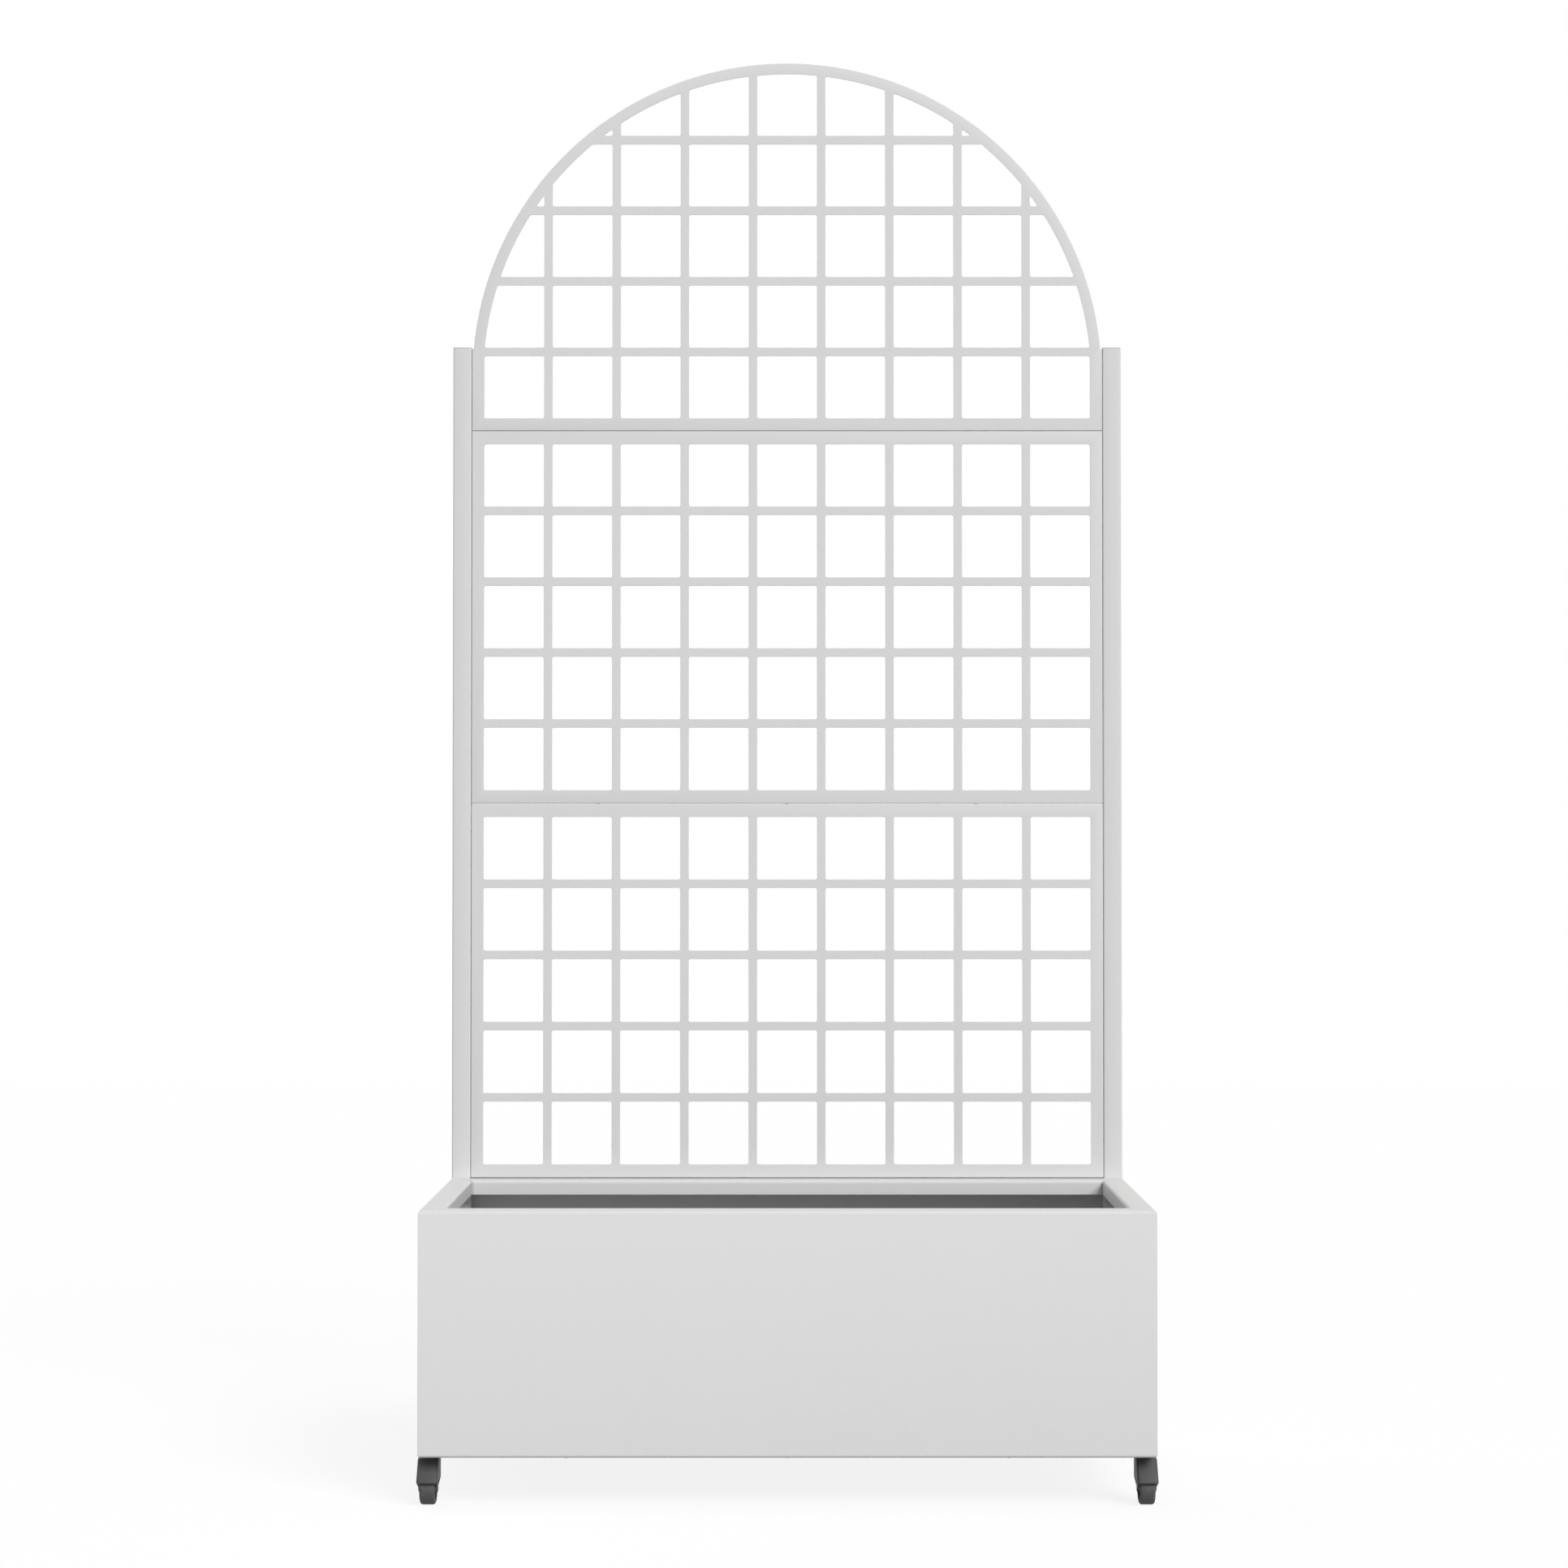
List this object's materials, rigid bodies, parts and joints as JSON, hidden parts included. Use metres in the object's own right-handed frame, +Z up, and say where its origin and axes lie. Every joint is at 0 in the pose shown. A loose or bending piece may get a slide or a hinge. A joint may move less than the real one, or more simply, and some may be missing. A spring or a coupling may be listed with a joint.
{
  "type": "metal planter box with trellis",
  "caption": "Rectangular folded-steel planter trough on small swivel casters, with a tall arched grid trellis on square posts at its back.",
  "frame": {"origin": "on the floor under the middle of the object's bounding box", "axes": "+X to the right along the box, +Y from the front wall to the trellis, +Z up"},
  "size_m": [0.875, 0.4142, 1.7968],
  "materials": {
    "coat": "satin off-white powder coat on sheet steel",
    "cap": "moulded off-white plastic",
    "zinc": "bright zinc plate",
    "painted_screw": "off-white coated heads",
    "steel": "zinc-plated turned steel",
    "black_plastic": "fine-grained black plastic",
    "hub": "black plastic",
    "tread": "dark rubber"
  },
  "bodies": {
    "planter": {"front_panel": "coat", "back_panel": "coat", "left_panel": "coat", "right_panel": "coat", "base_panel": "coat", "left_post": "coat", "right_post": "coat", "trellis_bottom_panel": "coat", "trellis_middle_panel": "coat", "trellis_top_panel": "coat", "left_post_cap": "cap", "right_post_cap": "cap", "front_corner_studs": "zinc", "front_corner_nuts": "zinc", "caster_plates": "zinc", "caster_nuts": "zinc", "trellis_nuts": "zinc", "back_corner_screws": "painted_screw", "base_screws": "painted_screw", "trellis_screws": "painted_screw", "trellis_bolts": "painted_screw", "front_left_caster_stem": "steel", "front_right_caster_stem": "steel", "back_left_caster_stem": "steel", "back_right_caster_stem": "steel"},
    "front_left_fork": {"front_left_swivel_washer": "steel", "front_left_caster_fork": "black_plastic", "front_left_caster_axle": "steel"},
    "front_left_wheel": {"front_left_wheel_hub": "hub", "front_left_wheel_tyre": "tread"},
    "front_right_fork": {"front_right_swivel_washer": "steel", "front_right_caster_fork": "black_plastic", "front_right_caster_axle": "steel"},
    "front_right_wheel": {"front_right_wheel_hub": "hub", "front_right_wheel_tyre": "tread"},
    "back_left_fork": {"back_left_swivel_washer": "steel", "back_left_caster_fork": "black_plastic", "back_left_caster_axle": "steel"},
    "back_left_wheel": {"back_left_wheel_hub": "hub", "back_left_wheel_tyre": "tread"},
    "back_right_fork": {"back_right_swivel_washer": "steel", "back_right_caster_fork": "black_plastic", "back_right_caster_axle": "steel"},
    "back_right_wheel": {"back_right_wheel_hub": "hub", "back_right_wheel_tyre": "tread"}
  },
  "joints": [
    {"name": "front_left_swivel", "type": "hinge", "parent": "planter", "child": "front_left_fork", "pos_m": [-0.425, -0.1631, 0.0545], "axis": [0, 0, 1], "continuous": true},
    {"name": "front_left_roll", "type": "hinge", "parent": "front_left_fork", "child": "front_left_wheel", "pos_m": [-0.425, -0.1771, 0.02], "axis": [1, 0, 0], "continuous": true},
    {"name": "front_right_swivel", "type": "hinge", "parent": "planter", "child": "front_right_fork", "pos_m": [0.425, -0.1631, 0.0545], "axis": [0, 0, 1], "continuous": true},
    {"name": "front_right_roll", "type": "hinge", "parent": "front_right_fork", "child": "front_right_wheel", "pos_m": [0.425, -0.1771, 0.02], "axis": [1, 0, 0], "continuous": true},
    {"name": "back_left_swivel", "type": "hinge", "parent": "planter", "child": "back_left_fork", "pos_m": [-0.425, 0.1609, 0.0545], "axis": [0, 0, 1], "continuous": true},
    {"name": "back_left_roll", "type": "hinge", "parent": "back_left_fork", "child": "back_left_wheel", "pos_m": [-0.425, 0.1469, 0.02], "axis": [1, 0, 0], "continuous": true},
    {"name": "back_right_swivel", "type": "hinge", "parent": "planter", "child": "back_right_fork", "pos_m": [0.425, 0.1609, 0.0545], "axis": [0, 0, 1], "continuous": true},
    {"name": "back_right_roll", "type": "hinge", "parent": "back_right_fork", "child": "back_right_wheel", "pos_m": [0.425, 0.1469, 0.02], "axis": [1, 0, 0], "continuous": true}
  ]
}
